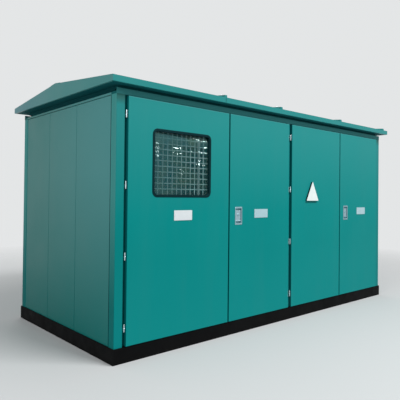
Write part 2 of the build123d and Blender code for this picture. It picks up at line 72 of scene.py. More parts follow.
# Meshing: points nearer than the first are one, and edges that turn more than the second, in
# degrees, stay sharp
WELD_DISTANCE = 1e-6
SHARP_ANGLE = 40.0

# Least share of its radius that a corner keeps when its outline moves in, and the corner radius of
# a bar over its edge radius
LEAST_RADIUS_SHARE = 0.1
CORNER_OVER_EDGE = 1.01

# Hinges
BARREL_RADIUS = 0.006
BARREL_EDGE = 0.0014
COLLAR_RADIUS = 0.008
COLLAR_HEIGHT = 0.005
COLLAR_EDGE = 0.002
KNUCKLE_HEIGHT = 0.032
KNUCKLE_GAP = 0.0003
HINGES_PER_LEAF = 4
ARM_HEIGHT = 0.016
ARM_THICKNESS = 0.006
FOOT_THICKNESS = 0.008
FOOT_SETBACK = 0.008
BAR_EDGE = 0.001

# Window mesh of rolled wires
WIRE_HALF_WIDTH = 0.0042
WIRE_HALF_DEPTH = 0.0027
WIRE_COLUMNS = 11
WIRE_ROWS = 10
WIRE_STATIONS = 40
WIRE_SIDES = 12

# Sway of the wires: its size, and its waves as (count in the length, shift between wires, share)
WIRE_SWAY = 0.0008
WIRE_WAVES = ((3, 0.37, 1.0), (7, 0.61, 0.6))

# Window gasket: insets from its outer outline, and depths out of the leaf's face
GASKET_FACE = 0.025
GASKET_LIP_ROUNDING = 0.0024
GASKET_HOLE_INSET = 0.0123
FILLER_GROOVE = ((0.0125, 0.0), (0.0133, -0.0015), (0.0152, -0.0015), (0.0160, 0.0))
PANE_INSET = 0.018
PANE_DEPTHS = (-0.012, -0.017)
MESH_DEPTHS = (-0.024, -0.034)
WINDOW_CORNER = 0.056

# Bare plates on the leaves
PLATE_EDGE = 0.0008
LABEL_SIZE = (0.228, 0.098)
LABEL_THICKNESS = 0.004
LABEL_CORNER = 0.004
LABEL_HEIGHT = 1.300
LABEL_PLACES = {1: -1.592, 2: -0.433, 4: 1.777}
RIVET_INSET = 0.010
RIVET_RADIUS = 0.003
RIVET_HEIGHT = 0.0015
BACKING_EDGE = 0.001
TRIANGLE_SIDE = 0.256
TRIANGLE_HEIGHT = 0.246
TRIANGLE_CORNER = 0.006
TRIANGLE_BASE_LEVEL = 1.446
TRIANGLE_X = 0.5464
TRIANGLE_STAND_OFF = 0.022
TRIANGLE_THICKNESS = 0.002

# Locks: the plates are dull behind the recess's front, and the key boss is a profile of (radius,
# height) with a rim, a groove, and a plug with a hole
PADDLE_FACE_Y = -1.0655
RECESS_FRONT_Y = -1.069
KEY_BOSS_ROWS = (
    (0, 0),
    (0.0165, 0),
    (0.0165, 0.0018),
    (0.0150, 0.0030),
    (0.0105, 0.0032),
    (0.0098, 0.0016),
    (0.0090, 0.0016),
    (0.0086, 0.0034),
    (0.0075, 0.0040),
    (0.0026, 0.0040),
    (0.0022, 0.0010),
    (0, 0.0010),
)
KEY_BOSS_DROP = 0.052
LOCK_SCREW_INSET = (0.015, 0.0078)
LOCK_SCREW_RADIUS = 0.004
LOCK_SCREW_HEIGHT = 0.0022

# Sealant beads
BEAD_WIDTH = 0.0024
BEAD_RISE = 0.0004
BEAD_SINK = 0.0020

# Soffits
SOFFIT_DROP = 0.0026
SOFFIT_CLEARANCE = 0.0005

# Roof screws, and the roof that they sit on
RIDGE_LEVEL = 2.640
EAVES_LEVEL = 2.527
ROOF_HALF_WIDTH = 1.137
RIB_LINES = (-1.079, -0.152, 1.131, 2.318)
RIB_HEIGHT = 0.024
RIB_SCREW_SPAN = (0.30, 1.06)
RIB_SCREW_COUNT = 4
CAP_THICKNESS = 0.003
CAP_SCREW_Y = 0.090
CAP_SCREW_SPAN = (-2.34, 2.20)
CAP_SCREW_COUNT = 11
ROOF_SCREW_ROWS = (
    (0, 0),
    (0.0090, 0),
    (0.0086, 0.0014),
    (0.0058, 0.0018),
    (0.0056, 0.0048),
    (0.0046, 0.0056),
    (0, 0.0058),
)

leaf_face_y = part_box("door_1_leaf")[0].y
post_face_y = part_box("front_left_post")[0].y


# Surfaces: each is an array of rows of points, which becomes one sheet of quads
def quads(rows, columns, first):
    """Cells of a grid of points: each joins a point to its right, upper right and upper ones."""
    index = first + np.arange(rows * columns).reshape(rows, columns)
    cells = np.stack([index[:-1, :-1], index[:-1, 1:], index[1:, 1:], index[1:, :-1]], axis=-1)
    return cells.reshape(-1, 4)


def make_piece(name, surfaces, material, body):
    """One mesh from several surfaces. Points that meet at seams and poles are welded."""
    points = np.concatenate([surface.reshape(-1, 3) for surface in surfaces])
    starts = np.cumsum([0] + [surface.shape[0] * surface.shape[1] for surface in surfaces[:-1]])
    cells = [quads(*surface.shape[:2], start) for surface, start in zip(surfaces, starts)]
    faces = np.concatenate(cells)
    mesh = bpy.data.meshes.new(name)
    mesh.from_pydata(points.tolist(), [], faces.tolist())
    loose = bmesh.new()
    loose.from_mesh(mesh)
    bmesh.ops.remove_doubles(loose, verts=loose.verts, dist=WELD_DISTANCE)
    loose.to_mesh(mesh)
    loose.free()
    mesh.validate()
    mesh.polygons.foreach_set("use_smooth", np.ones(len(mesh.polygons), dtype=bool))
    mesh.set_sharp_from_angle(angle=math.radians(SHARP_ANGLE))
    mesh.materials.append(material)
    piece = bpy.data.objects.new(name, mesh)
    bpy.context.scene.collection.objects.link(piece)
    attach(piece, body)
    return piece


def turned(rows, place, sides=24):
    """A profile of (radius, height) rows turned round the place's out direction.

    At each angle a the point is radius times cos a across, radius times sin a up, and height out.
    """
    profile = np.array(rows, float)
    angle = np.linspace(0, 2 * np.pi, sides + 1)
    origin, across, up, out = (np.array(v, float) for v in place)
    ring = np.cos(angle)[:, None] * across + np.sin(angle)[:, None] * up
    return origin + profile[:, :1, None] * ring + profile[:, 1:, None] * out


def rounded_outline(corners, radius, inset, steps):
    """Closed outline of a convex polygon moved in by the inset, with an arc at each corner.

    The arc's centre lies on the corner's bisector, its radius plus the inset from both sides.
    """
    corners = np.array(corners, float)
    ahead = np.roll(corners, -1, axis=0) - corners
    ahead /= np.linalg.norm(ahead, axis=1, keepdims=True)
    behind = -np.roll(ahead, 1, axis=0)
    bisector = ahead + behind
    bisector /= np.linalg.norm(bisector, axis=1, keepdims=True)
    half_angle = np.arccos(np.clip((ahead * behind).sum(axis=1), -1, 1)) / 2
    small_radius = max(radius - inset, radius * LEAST_RADIUS_SHARE)
    centres = corners + bisector * ((small_radius + inset) / np.sin(half_angle))[:, None]
    out_of_behind = np.stack([-behind[:, 1], behind[:, 0]], axis=1)
    start = np.arctan2(out_of_behind[:, 1], out_of_behind[:, 0])
    sweep = (np.pi - 2 * half_angle)[:, None] * np.linspace(0, 1, steps)
    angle = start[:, None] + sweep
    arcs = centres[:, None, :] + small_radius * np.stack([np.cos(angle), np.sin(angle)], axis=-1)
    outline = arcs.reshape(-1, 2)
    return np.concatenate([outline, outline[:1]])


def stacked(corners, radius, rows, place, steps=6):
    """Outlines stacked by (height, inset) rows and closed at both ends in their middle.

    place turns (across, up, out) into X, Y, Z by its three directions and its origin.
    """
    origin, across, up, out = (np.array(v, float) for v in place)
    sheets = []
    for height, inset in rows:
        outline = rounded_outline(corners, radius, inset, steps)
        sheets.append(origin + outline[:, :1] * across + outline[:, 1:] * up + height * out)
    first_middle = np.repeat(sheets[0][:-1].mean(axis=0)[None], len(sheets[0]), axis=0)
    last_middle = np.repeat(sheets[-1][:-1].mean(axis=0)[None], len(sheets[-1]), axis=0)
    return np.stack([first_middle] + sheets + [last_middle])


def rectangle(width, height):
    """Corners of a rectangle round its middle, anticlockwise."""
    right, top = width / 2, height / 2
    return [(-right, -top), (right, -top), (right, top), (-right, top)]


def edge_rows(low, high, edge):
    """Rows of a flat plate with rounded edges: the inset follows a quarter circle at each end.

    One more row at each end, inset twice as far, keeps the shading of the flat faces flat.
    """
    turn = np.linspace(0, np.pi / 2, 4)
    bottom = [(low + edge * (1 - math.sin(t)), edge * (1 - math.cos(t))) for t in turn[::-1]]
    top = [(high - edge * (1 - math.sin(t)), edge * (1 - math.cos(t))) for t in turn]
    return [(low, 2 * edge)] + bottom + top + [(high, 2 * edge)]


def rounded_bar(x_span, y_span, z_span, edge=BAR_EDGE):
    """Upright bar with rounded edges."""
    x_low, x_high = sorted(x_span)
    y_low, y_high = sorted(y_span)
    place = (((x_low + x_high) / 2, (y_low + y_high) / 2, 0), (1, 0, 0), (0, 1, 0), (0, 0, 1))
    rows = edge_rows(*z_span, edge)
    corners = rectangle(x_high - x_low, y_high - y_low)
    return stacked(corners, edge * CORNER_OVER_EDGE, rows, place, steps=4)


def facing_front(x, z, y):
    """Place of something flat on the front: across is +X, up is +Z and out is -Y."""
    return (x, y, z), (1, 0, 0), (0, 0, 1), (0, -1, 0)


def swept_ring(section, width, height, radius, place, steps=10):
    """A closed section of (inset, out) points carried round a rounded rectangle.

    Each point gives one outline, moved in by its inset and laid at its out.
    """
    origin, across, up, out = (np.array(v, float) for v in place)
    rings = []
    for inset, depth in list(section) + [section[0]]:
        outline = rounded_outline(rectangle(width, height), radius, inset, steps)
        rings.append(origin + outline[:, :1] * across + outline[:, 1:] * up + depth * out)
    return np.stack(rings)


def quarter(centre, radius, start, steps=4):
    """Points of a quarter circle that turns clockwise from a start angle in degrees."""
    angles = np.radians(start - np.linspace(0, 90, steps))
    return [(centre[0] + radius * math.cos(a), centre[1] + radius * math.sin(a)) for a in angles]


# Finishes: each is built from noise on Object coordinates
class Finish:
    """A material in the making: its Principled shader and short ways to add nodes."""

    def __init__(self, name, roughness, metallic=0.0, specular=0.5):
        self.material = bpy.data.materials.new(name)
        self.material.use_nodes = True
        self.tree = self.material.node_tree
        self.tree.nodes.clear()
        output = self.add("ShaderNodeOutputMaterial")
        self.shader = self.add("ShaderNodeBsdfPrincipled")
        self.link(self.shader.outputs["BSDF"], output.inputs["Surface"])
        self.shader.inputs["Roughness"].default_value = roughness
        self.shader.inputs["Metallic"].default_value = metallic
        self.shader.inputs["Specular IOR Level"].default_value = specular
        self.place = self.add("ShaderNodeTexCoord").outputs["Object"]

    def add(self, kind, **settings):
        """New node with the given settings."""
        node = self.tree.nodes.new(kind)
        for name, value in settings.items():
            setattr(node, name, value)
        return node

    def link(self, source, target):
        """Wire from an output to an input."""
        self.tree.links.new(source, target)

    def feed(self, node, name, value):
        """Give an input a fixed value or a wire."""
        if isinstance(value, bpy.types.NodeSocket):
            self.link(value, node.inputs[name])
        else:
            node.inputs[name].default_value = value

    def noise(self, scale, detail=2.0, roughness=0.5, stretch=(1, 1, 1)):
        """Cloudy pattern, about 0 to 1, with the scale in features per metre."""
        mapping = self.add("ShaderNodeMapping")
        mapping.inputs["Scale"].default_value = stretch
        self.link(self.place, mapping.inputs["Vector"])
        texture = self.add("ShaderNodeTexNoise")
        texture.inputs["Scale"].default_value = scale
        texture.inputs["Detail"].default_value = detail
        texture.inputs["Roughness"].default_value = roughness
        self.link(mapping.outputs["Vector"], texture.inputs["Vector"])
        return texture.outputs["Fac"]

    def spread(self, value, from_low, from_high, to_low=0.0, to_high=1.0):
        """Value carried from one range to another and held inside it."""
        node = self.add("ShaderNodeMapRange")
        self.feed(node, "Value", value)
        self.feed(node, "From Min", from_low)
        self.feed(node, "From Max", from_high)
        self.feed(node, "To Min", to_low)
        self.feed(node, "To Max", to_high)
        return node.outputs["Result"]

    def maths(self, operation, first, second=0.0):
        """One arithmetic step."""
        node = self.add("ShaderNodeMath", operation=operation)
        for socket, value in zip(node.inputs, (first, second)):
            if isinstance(value, bpy.types.NodeSocket):
                self.link(value, socket)
            else:
                socket.default_value = value
        return node.outputs["Value"]

    def mix(self, share, first, second):
        """Colour between two colours, each fixed or wired, by a wired share."""
        node = self.add("ShaderNodeMix", data_type="RGBA")
        sockets = (node.inputs["Factor"], node.inputs[6], node.inputs[7])
        for socket, value in zip(sockets, (share, first, second)):
            if isinstance(value, tuple):
                socket.default_value = (*value, 1.0)
            else:
                self.link(value, socket)
        return node.outputs[2]

    def axis(self, name):
        """One coordinate of the place, in metres."""
        split = self.add("ShaderNodeSeparateXYZ")
        self.link(self.place, split.inputs["Vector"])
        return split.outputs[name]

    def facing_side(self):
        """1 on faces that look along X when the doors are shut, and 0 on the rest."""
        geometry = self.add("ShaderNodeNewGeometry")
        own = self.add("ShaderNodeVectorTransform", vector_type="NORMAL")
        own.convert_from, own.convert_to = "WORLD", "OBJECT"
        self.link(geometry.outputs["True Normal"], own.inputs["Vector"])
        split = self.add("ShaderNodeSeparateXYZ")
        self.link(own.outputs["Vector"], split.inputs["Vector"])
        return self.spread(self.maths("ABSOLUTE", split.outputs["X"]), 0.6, 0.8)

    def edges(self, radius):
        """The surface's turn within the radius, and the normal rounded over it.

        The turn is 0 on a flat and rises at an edge.
        """
        bevel = self.add("ShaderNodeBevel", samples=4)
        bevel.inputs["Radius"].default_value = radius
        geometry = self.add("ShaderNodeNewGeometry")
        dot = self.add("ShaderNodeVectorMath", operation="DOT_PRODUCT")
        self.link(bevel.outputs["Normal"], dot.inputs[0])
        self.link(geometry.outputs["Normal"], dot.inputs[1])
        turn = self.maths("SUBTRACT", 1.0, dot.outputs["Value"])
        return turn, bevel.outputs["Normal"]

    def bump(self, layers, normal=None):
        """Layers of (height, distance in metres) laid over each other."""
        for height, distance in layers:
            node = self.add("ShaderNodeBump")
            node.inputs["Strength"].default_value = 1.0
            node.inputs["Distance"].default_value = distance
            self.link(height, node.inputs["Height"])
            if normal is not None:
                self.link(normal, node.inputs["Normal"])
            normal = node.outputs["Normal"]
        self.link(normal, self.shader.inputs["Normal"])

    def colour(self, value):
        """Drive the surface's colour."""
        self.link(value, self.shader.inputs["Base Color"])

    def gloss(self, value):
        """Drive the roughness."""
        self.link(value, self.shader.inputs["Roughness"])


# Colours: each pair is a finish's low and high end, between which its clouds go
# Painted highlight along the edges of the teal paints
TEAL_EDGE_HIGHLIGHT = (0.060, 0.300, 0.285)
DUST = (0.16, 0.22, 0.20)
# Painted shade: the roof's underside is far darker than its paint
UNDERSIDE_SHADE_GREEN = ((0.0020, 0.090, 0.100), (0.006, 0.120, 0.130))
BASE_BLACK = ((0.0025, 0.0026, 0.0030), (0.0050, 0.0050, 0.0052))
BASE_EDGE_HIGHLIGHT = (0.026, 0.027, 0.028)
BASE_DUST = (0.040, 0.036, 0.030)
RUBBER_BLACK = ((0.0020, 0.018, 0.022), (0.0040, 0.028, 0.033))
PANE_HAZE = ((0.024, 0.122, 0.134), (0.056, 0.138, 0.102))
PANE_REFLECTION_BAND = (0.075, 0.165, 0.165)
FLOOR_GREY = ((0.085, 0.09, 0.09), (0.17, 0.17, 0.165))
BRIGHT_ZINC = ((0.60, 0.71, 0.75), (0.78, 0.89, 0.93))
WIRE_ZINC = ((0.20, 0.44, 0.45), (0.27, 0.53, 0.54))
LOCK_PLATE_ZINC = ((0.27, 0.42, 0.47), (0.35, 0.51, 0.56))
LOCK_PADDLE_ZINC = ((0.32, 0.46, 0.52), (0.39, 0.53, 0.59))
RECESS_GRIME = (0.240, 0.460, 0.520)
TRIANGLE_WHITE = ((0.66, 0.73, 0.72), (0.77, 0.83, 0.81))
PALE_LABEL = ((0.585, 0.636, 0.657), (0.69, 0.72, 0.74))
DULL_LABEL = ((0.33, 0.48, 0.527), (0.39, 0.545, 0.595))

# Levels between which the painted shade and sheen on the side faces go from the lower to the upper
# colour, and how far the rounding of an edge, with its painted highlight, reaches
SIDE_SHADE_LEVELS = (0.5, 1.5)
PAINT_EDGE_REACH = 0.003
METAL_EDGE_REACH = 0.0008


def teal_paint(name, deep, faded, roughness=0.40, specular=0.10, turns=(), side_shading=None):
    """Satin enamel on sheet steel: faded in clouds, a painted highlight along the edges, dust runs,
    waves, orange peel.

    turns are (axis, start, end, colour): from start to end along the axis, the paint turns to the
    colour. side_shading, if given, is (lower, upper): painted shade and sheen on faces that look
    along X, below and above the side shade levels.
    """
    paint = Finish(name, roughness, specular=specular)
    clouds = paint.spread(paint.noise(0.8), 0.3, 0.7)
    colour = paint.mix(clouds, deep, faded)
    for axis, start, end, turned_colour in turns:
        colour = paint.mix(paint.spread(paint.axis(axis), start, end), colour, turned_colour)
    # Painted shade and sheen on faces that look along X, changing with height
    if side_shading:
        side_shade = paint.mix(paint.spread(paint.axis("Z"), *SIDE_SHADE_LEVELS), *side_shading)
        colour = paint.mix(paint.facing_side(), colour, side_shade)
    turn, rounded = paint.edges(PAINT_EDGE_REACH)
    # Painted highlight: the paint turns paler where the surface turns at an edge
    colour = paint.mix(paint.spread(turn, 0.02, 0.4, 0.0, 0.40), colour, TEAL_EDGE_HIGHLIGHT)
    runs = paint.noise(7.0, detail=4.0, roughness=0.6, stretch=(1, 1, 0.08))
    colour = paint.mix(paint.spread(runs, 0.45, 0.8, 0.0, 0.03), colour, DUST)
    paint.colour(colour)
    sheen = paint.noise(2.5, detail=3.0)
    paint.gloss(paint.spread(sheen, 0.25, 0.75, roughness - 0.05, roughness + 0.07))
    waviness, orange_peel = paint.noise(1.3, detail=1.0), paint.noise(420.0, detail=1.0)
    paint.bump([(waviness, 0.005), (orange_peel, 0.00006)], rounded)
    return paint.material


def painted_shade_underside():
    """Underside of the roof: dull green, darkened as painted shade, with dust."""
    paint = Finish("painted_shade_underside", 0.75, specular=0.1)
    paint.colour(paint.mix(paint.noise(5.0, detail=3.0), *UNDERSIDE_SHADE_GREEN))
    paint.bump([(paint.noise(60.0, detail=2.0), 0.0003)])
    return paint.material


def black_base_paint():
    """Black chassis paint on rolled steel: some dust low down, painted highlights on the arrises, rolled texture.
    """
    paint = Finish("black_base_paint", 0.60, specular=0.05)
    turn, rounded = paint.edges(PAINT_EDGE_REACH)
    colour = paint.mix(paint.noise(3.0, detail=3.0, roughness=0.6), *BASE_BLACK)
    # Painted highlight on the arrises
    colour = paint.mix(paint.spread(turn, 0.05, 0.5, 0.0, 0.35), colour, BASE_EDGE_HIGHLIGHT)
    specks = paint.spread(paint.noise(38.0, detail=5.0, roughness=0.7), 0.56, 0.72, 0.0, 0.22)
    low = paint.spread(paint.axis("Z"), 0.0, 0.07, 1.0, 0.1)
    colour = paint.mix(paint.maths("MULTIPLY", specks, low), colour, BASE_DUST)
    paint.colour(colour)
    paint.gloss(paint.spread(paint.noise(9.0, detail=3.0), 0.3, 0.7, 0.5, 0.72))
    rolled_scale = paint.noise(55.0, detail=4.0, roughness=0.6)
    paint.bump([(rolled_scale, 0.0005), (paint.noise(500.0, detail=1.0), 0.00008)], rounded)
    return paint.material


RECESS_GRIME_DEPTH = 0.008
RECESS_GRIME_SHARE = 0.85


def zinc_plate(name, colour_low, colour_high, roughness, metallic=1.0, recess=None):
    """Bright zinc: cloudy crystals, light brushing and a soft sheen.

    recess, if given, is the Y behind which it is dull with dust.
    """
    metal = Finish(name, roughness, metallic=metallic)
    rounded = metal.edges(METAL_EDGE_REACH)[1]
    crystals = metal.spread(metal.noise(160.0, detail=3.0, roughness=0.6), 0.3, 0.7)
    colour = metal.mix(crystals, colour_low, colour_high)
    if recess is not None:
        back = recess + RECESS_GRIME_DEPTH
        depth = metal.spread(metal.axis("Y"), recess, back, 0.0, RECESS_GRIME_SHARE)
        colour = metal.mix(depth, colour, RECESS_GRIME)
        metal.link(metal.maths("SUBTRACT", metallic, depth), metal.shader.inputs["Metallic"])
    metal.colour(colour)
    sheen = metal.noise(45.0, detail=3.0)
    metal.gloss(metal.spread(sheen, 0.3, 0.7, roughness - 0.06, roughness + 0.1))
    metal.bump([(metal.noise(900.0, stretch=(1, 1, 0.15)), 0.00003)], rounded)
    return metal.material


def black_rubber():
    """Weathered rubber: near black with a sea-green bloom and a fine grain."""
    rubber = Finish("black_rubber_seal", 0.62, specular=0.05)
    rubber.colour(rubber.mix(rubber.noise(22.0, detail=4.0), *RUBBER_BLACK))
    rubber.bump([(rubber.noise(700.0, detail=2.0), 0.00008)])
    return rubber.material


# Dust and painted reflections on the pane: shares of cover, and measures in metres. The painted
# reflection band fades between its half widths, the painted reflection near the top between its drops, and the
# painted shadow strip along the top widens away from the hinges
EVEN_DUST = 0.10
HAZE_DUST = 0.14
SIDE_PAINTED_REFLECTION = 0.26
SIDE_REFLECTION_STOP = 0.03
TOP_PAINTED_REFLECTION = 0.16
TOP_REFLECTION_DROPS = (0.13, 0.10)
BAND_PAINTED_REFLECTION = 0.30
REFLECTION_BAND_X = -1.384
REFLECTION_BAND_HALF_WIDTHS = (0.014, 0.024)
SHADOW_STRIP_COVER = 0.25
SHADOW_STRIP_WIDTHS = (0.020, 0.062)
SHADOW_STRIP_FADE = 0.006


def window_pane():
    """Dusty pane: mostly clear, with a sea-green haze and a pale band of painted reflection.

    Painted reflections make the haze denser to the hinge side and in a band near the top. A strip
    along the top has less haze and so is darker, a painted shadow of the lip above.
    """
    glass = Finish("window_pane", 0.02, specular=0.40)
    haze = glass.spread(glass.noise(6.0, detail=3.0, roughness=0.55), 0.35, 0.75)
    low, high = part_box("window_glass")
    x, z = glass.axis("X"), glass.axis("Z")
    # Painted reflection: a pale upright band of haze
    off_band = glass.maths("ABSOLUTE", glass.maths("SUBTRACT", x, REFLECTION_BAND_X))
    reflection_band = glass.spread(off_band, *REFLECTION_BAND_HALF_WIDTHS, 1.0, 0.0)
    glass.colour(glass.mix(reflection_band, glass.mix(haze, *PANE_HAZE), PANE_REFLECTION_BAND))
    # Painted reflection: more haze towards the hinge side
    side = glass.spread(x, low.x, REFLECTION_BAND_X - SIDE_REFLECTION_STOP, SIDE_PAINTED_REFLECTION, 0.0)
    # Painted reflection: more haze in a band near the top
    top = glass.spread(z, *(high.z - drop for drop in TOP_REFLECTION_DROPS), 0.0, TOP_PAINTED_REFLECTION)
    veil = glass.maths("MULTIPLY", haze, HAZE_DUST)
    # The sum is dust and painted reflection
    dust = glass.maths("ADD", glass.maths("ADD", side, veil), glass.maths("ADD", top, EVEN_DUST))
    dust = glass.maths("ADD", dust, glass.maths("MULTIPLY", reflection_band, BAND_PAINTED_REFLECTION))
    # Painted shadow of the lip above: less haze in a strip along the top, wider away from the hinges
    shadow_edge = glass.spread(x, low.x, high.x, *(high.z - width for width in SHADOW_STRIP_WIDTHS))
    above_edge = glass.maths("SUBTRACT", z, shadow_edge)
    shadow_strip_cut = glass.spread(above_edge, 0.0, SHADOW_STRIP_FADE, 1.0, SHADOW_STRIP_COVER)
    glass.link(glass.maths("MULTIPLY", dust, shadow_strip_cut), glass.shader.inputs["Alpha"])
    glass.bump([(glass.noise(24.0, detail=1.0), 0.000010)])
    return glass.material


def plate_enamel(name, low, high):
    """Enamelled plate: enamel with faint clouds, a soft gloss and a slightly uneven surface."""
    enamel = Finish(name, 0.35, specular=0.3)
    enamel.colour(enamel.mix(enamel.noise(14.0, detail=4.0), low, high))
    enamel.bump([(enamel.noise(60.0, detail=2.0), 0.00015)])
    return enamel.material


LOZENGES_PER_METRE = 42.0


def floor_steel():
    """Painted steel floor inside: grey, scuffed, with raised lozenges in two directions."""
    steel = Finish("floor_steel_sheet", 0.55, specular=0.4)
    scuffs = steel.spread(steel.noise(30.0, detail=5.0, roughness=0.7), 0.45, 0.7)
    steel.colour(steel.mix(scuffs, *FLOOR_GREY))
    waves = []
    for stretch in ((1, 0.35, 1), (0.35, 1, 1)):
        mapping = steel.add("ShaderNodeMapping")
        mapping.inputs["Scale"].default_value = stretch
        mapping.inputs["Rotation"].default_value = (0, 0, math.radians(45))
        steel.link(steel.place, mapping.inputs["Vector"])
        cells = steel.add("ShaderNodeTexVoronoi")
        cells.inputs["Scale"].default_value = LOZENGES_PER_METRE
        cells.inputs["Randomness"].default_value = 0.0
        steel.link(mapping.outputs["Vector"], cells.inputs["Vector"])
        waves.append((steel.spread(cells.outputs["Distance"], 0.15, 0.35, 1.0, 0.0), 0.0008))
    steel.bump(waves)
    return steel.material


# Paints: each pair of colours is deep and faded
FRONT_TEAL = ((0.0010, 0.216, 0.208), (0.0030, 0.230, 0.221))
FRONT_TURNS = (
    # Painted sheen: redder from 1.3 m up
    ("Z", 1.3, 2.3, (0.020, 0.229, 0.223)),
    # Painted light from the floor: brighter below 0.9 m
    ("Z", 0.9, 0.2, (0.0045, 0.249, 0.242)),
    # Painted highlight: a pale line along the leaves' top edges
    ("Z", 2.370, 2.378, (0.044, 0.238, 0.240)),
)
# Painted shade on the leaves' side faces
LEAF_SIDE_SHADE = ((0.001, 0.110, 0.114), (0.001, 0.110, 0.114))
POST_TEAL = ((0.0010, 0.196, 0.190), (0.0030, 0.208, 0.200))
POST_TURNS = (
    # Painted sheen: redder from 1.3 m up
    ("Z", 1.3, 2.2, (0.020, 0.205, 0.202)),
    # Painted light from the floor: brighter below 0.9 m
    ("Z", 0.9, 0.2, (0.003, 0.215, 0.215)),
    # Painted shadow of the eaves, with some dust: darker at the posts' tops
    ("Z", 2.295, 2.350, (0.026, 0.124, 0.115)),
)
# Painted shade low down and painted sheen higher up on the posts' side faces
POST_SIDE_SHADE_AND_SHEEN = ((0.004, 0.158, 0.153), (0.050, 0.272, 0.258))
# The end walls' paint is greyer than the front's: a painted sheen
END_TEAL = ((0.040, 0.205, 0.195), (0.048, 0.217, 0.205))
END_TURNS = (
    ("Y", 0.5, -0.8, (0.058, 0.255, 0.256)),
    # Painted shade: darker and less grey towards the bottom
    ("Z", 1.7, 0.2, (0.0, 0.158, 0.146)),
)
# The gables' grey, turning greyer and bluer towards the rear, is a painted sheen
GABLE_TEAL = ((0.042, 0.224, 0.220), (0.048, 0.232, 0.228))
GABLE_TURNS = (("Y", 0.0, 1.1, (0.082, 0.242, 0.270)),)
ROOF_TEAL = ((0.008, 0.194, 0.190), (0.014, 0.206, 0.202))
STOP_TEAL = ((0.003, 0.190, 0.198), (0.006, 0.215, 0.222))
finishes = {
    "body_paint": teal_paint(
        "teal_leaf_paint", *FRONT_TEAL, specular=0.04, turns=FRONT_TURNS, side_shading=LEAF_SIDE_SHADE
    ),
    "post_paint": teal_paint(
        "teal_post_paint", *POST_TEAL, specular=0.04, turns=POST_TURNS, side_shading=POST_SIDE_SHADE_AND_SHEEN
    ),
    "end_paint": teal_paint("teal_end_paint", *END_TEAL, 0.34, 0.15, END_TURNS),
    "gable_paint": teal_paint("teal_gable_paint", *GABLE_TEAL, 0.38, 0.20, GABLE_TURNS),
    "roof_paint": teal_paint("teal_roof_paint", *ROOF_TEAL, 0.38, 0.20),
    "frame_paint": teal_paint("teal_stop_paint", *STOP_TEAL, 0.45, 0.08),
    "underside_paint": painted_shade_underside(),
    "base_paint": black_base_paint(),
    "floor_steel": floor_steel(),
    "zinc_hardware": zinc_plate("zinc_hardware_plate", *BRIGHT_ZINC, 0.34),
    "galvanised_mesh": zinc_plate("galvanised_wire", *WIRE_ZINC, 0.45, metallic=0.3),
    "black_rubber": black_rubber(),
    "window_glass": window_pane(),
}
triangle_finish = plate_enamel("white_triangle_enamel", *TRIANGLE_WHITE)
pale_label_finish = plate_enamel("pale_label_enamel", *PALE_LABEL)
dull_label_finish = plate_enamel("dull_label_enamel", *DULL_LABEL)
label_finishes = {1: pale_label_finish, 2: dull_label_finish, 4: dull_label_finish}
lock_plate_finish = zinc_plate("lock_plate_metal", *LOCK_PLATE_ZINC, 0.42, recess=RECESS_FRONT_Y)
lock_paddle_finish = zinc_plate("lock_paddle_metal", *LOCK_PADDLE_ZINC, 0.38)

# Beginnings of the names of the nodes that have a finish of their own. The rest have their slot's
NODE_FINISHES = (
    (("left_panel", "right_panel", "left_top_rail", "right_top_rail"), finishes["end_paint"]),
    (("left_gable", "right_gable"), finishes["gable_paint"]),
    (("front_left", "front_right", "rear_left", "rear_right"), finishes["post_paint"]),
    (("lock_2_paddle", "lock_4_paddle"), lock_paddle_finish),
    (("lock_2_frame", "lock_4_frame"), lock_plate_finish),
)

for part in frame["record"]["subparts"]:
    node = frame["nodes"][part["node"]]
    finish = finishes[part["material_slot"]]
    for names, own_finish in NODE_FINISHES:
        if part["node"].startswith(names):
            finish = own_finish
    node.data.materials.clear()
    node.data.materials.append(finish)

zinc = finishes["zinc_hardware"]


# Hinges: bright turned barrels with a collar, on painted arms and feet
def hinge_bottoms(door_number):
    """Levels of the undersides of a leaf's knuckles, evenly spaced from lowest to highest."""
    low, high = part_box(f"door_{door_number}_hinges")
    top_bottom = high.z - (KNUCKLE_HEIGHT - KNUCKLE_GAP)
    return np.linspace(low.z, top_bottom, HINGES_PER_LEAF)


def barrel(radius, bottom, top, centre, edge=BARREL_EDGE):
    """Solid barrel with rounded rims: the radius falls by a quarter circle at each end."""
    turn = np.linspace(0, np.pi / 2, 5)
    rim = [(radius - edge * (1 - math.cos(t)), edge * (1 - math.sin(t))) for t in turn]
    lower = [(rim_radius, bottom + rise) for rim_radius, rise in rim[::-1]]
    upper = [(rim_radius, top - rise) for rim_radius, rise in rim]
    rows = [(0, bottom)] + lower + upper + [(0, top)]
    return turned(rows, ((centre[0], centre[1], 0), (1, 0, 0), (0, 1, 0), (0, 0, 1)))


def leaf_hinges(door_number, axis):
    """Upper knuckles of a leaf, and the arms that reach its edge."""
    low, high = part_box(f"door_{door_number}_hinges")
    arm_end = max((low.x, high.x), key=lambda x: abs(x - axis.x))
    y_span = (axis.y - ARM_THICKNESS / 2, axis.y + ARM_THICKNESS / 2)
    knuckles, arms = [], []
    for bottom in hinge_bottoms(door_number):
        knuckles.append(barrel(BARREL_RADIUS, bottom, bottom + KNUCKLE_HEIGHT - KNUCKLE_GAP, axis))
        levels = (bottom + BAR_EDGE, bottom + ARM_HEIGHT)
        arms.append(rounded_bar((axis.x, arm_end), y_span, levels))
    return knuckles, arms


